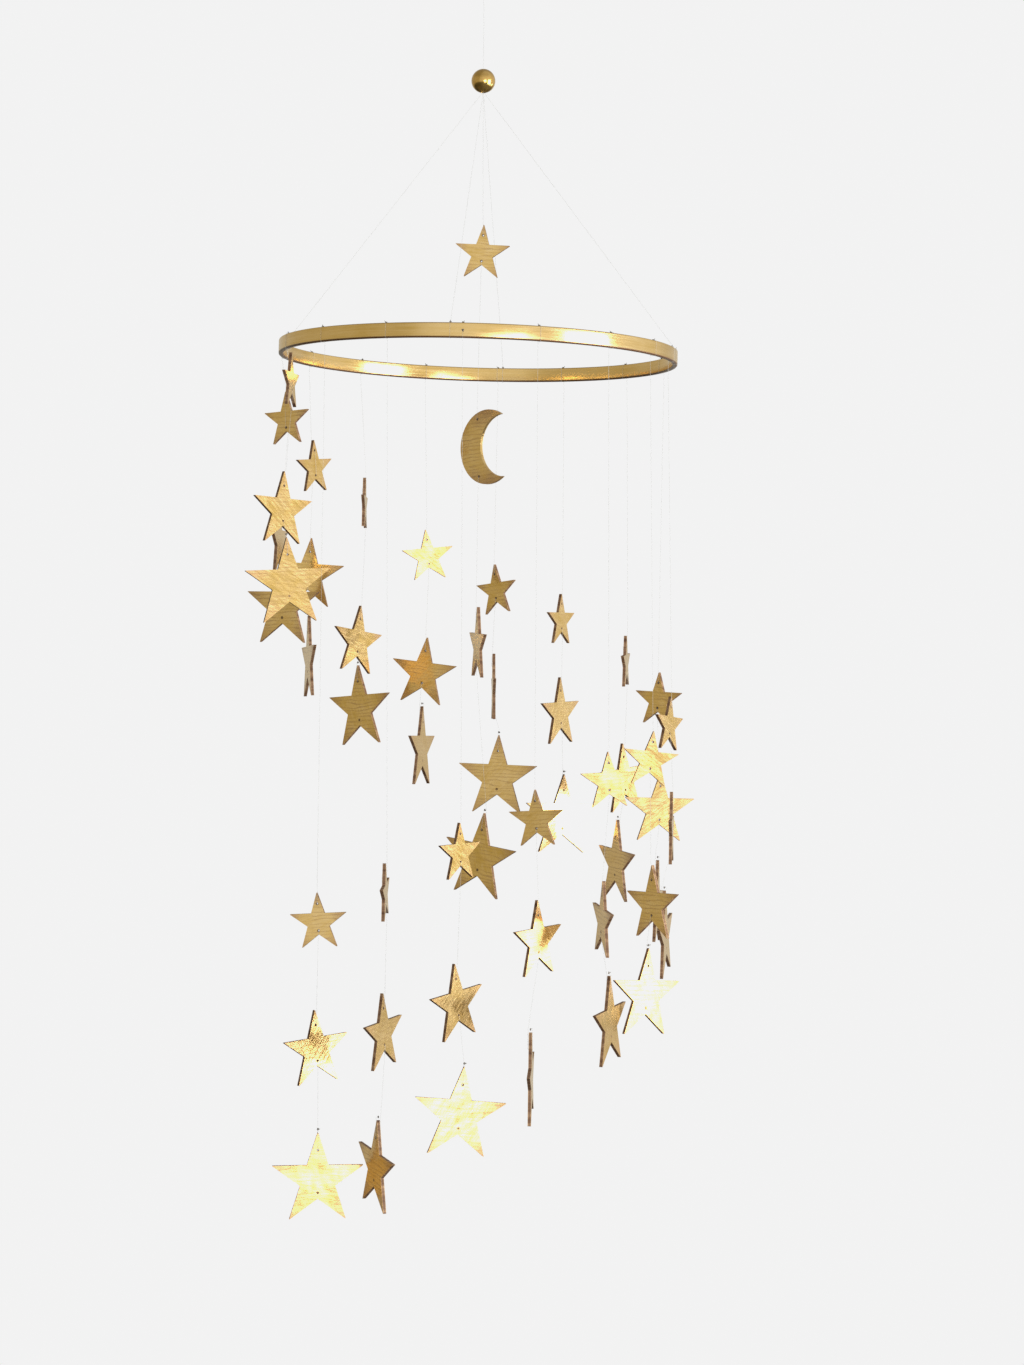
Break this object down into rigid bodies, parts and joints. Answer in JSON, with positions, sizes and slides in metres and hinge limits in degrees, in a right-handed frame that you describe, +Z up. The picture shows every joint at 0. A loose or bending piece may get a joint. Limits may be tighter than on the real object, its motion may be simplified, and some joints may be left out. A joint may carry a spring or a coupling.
{
  "type": "hanging mobile sculpture",
  "caption": "Hanging mobile: a thin hoop under a bead, with threads of flat stars falling from it in a spiral round a crescent moon.",
  "frame": {"origin": "top of the hanging loop, where the mobile hangs on a hook", "axes": "+Z up along the thread in the middle, -Y towards the viewer of the picture, +X to their right"},
  "size_m": [0.2872, 0.2928, 0.7728],
  "materials": {
    "star_ply": "metallic gold paint on laser-cut ply, edges scorched brown",
    "moon_ply": "metallic gold paint on laser-cut ply, edges scorched brown",
    "hoop": "metallic gold paint on a bent wood hoop",
    "bead": "glossy gold lacquer",
    "thread": "clear nylon thread"
  },
  "bodies": {
    "root": {"line_01_small_star": "star_ply", "line_01_medium_star": "star_ply", "line_01_large_star": "star_ply", "line_02_small_star": "star_ply", "line_02_medium_star": "star_ply", "line_02_large_star": "star_ply", "line_03_small_star": "star_ply", "line_03_medium_star": "star_ply", "line_03_large_star": "star_ply", "line_04_small_star": "star_ply", "line_04_medium_star": "star_ply", "line_04_large_star": "star_ply", "line_05_small_star": "star_ply", "line_05_medium_star": "star_ply", "line_05_large_star": "star_ply", "line_06_small_star": "star_ply", "line_06_medium_star": "star_ply", "line_06_large_star": "star_ply", "line_07_small_star": "star_ply", "line_07_medium_star": "star_ply", "line_07_large_star": "star_ply", "line_08_small_star": "star_ply", "line_08_medium_star": "star_ply", "line_08_large_star": "star_ply", "line_09_small_star": "star_ply", "line_09_medium_star": "star_ply", "line_09_large_star": "star_ply", "line_10_small_star": "star_ply", "line_10_medium_star": "star_ply", "line_10_large_star": "star_ply", "line_11_small_star": "star_ply", "line_11_medium_star": "star_ply", "line_11_large_star": "star_ply", "line_12_small_star": "star_ply", "line_12_medium_star": "star_ply", "line_12_large_star": "star_ply", "line_13_small_star": "star_ply", "line_13_medium_star": "star_ply", "line_13_large_star": "star_ply", "line_14_small_star": "star_ply", "line_14_medium_star": "star_ply", "line_14_large_star": "star_ply", "line_15_small_star": "star_ply", "line_15_medium_star": "star_ply", "line_15_large_star": "star_ply", "line_16_small_star": "star_ply", "line_16_medium_star": "star_ply", "line_16_large_star": "star_ply", "centre_small_star": "star_ply", "centre_medium_star": "star_ply", "centre_large_star": "star_ply", "moon": "moon_ply", "hoop": "hoop", "bead": "bead", "centre_thread": "thread", "hanging_loop": "thread", "suspension_thread_1": "thread", "suspension_thread_2": "thread", "suspension_thread_3": "thread", "suspension_thread_4": "thread"}
  },
  "joints": []
}
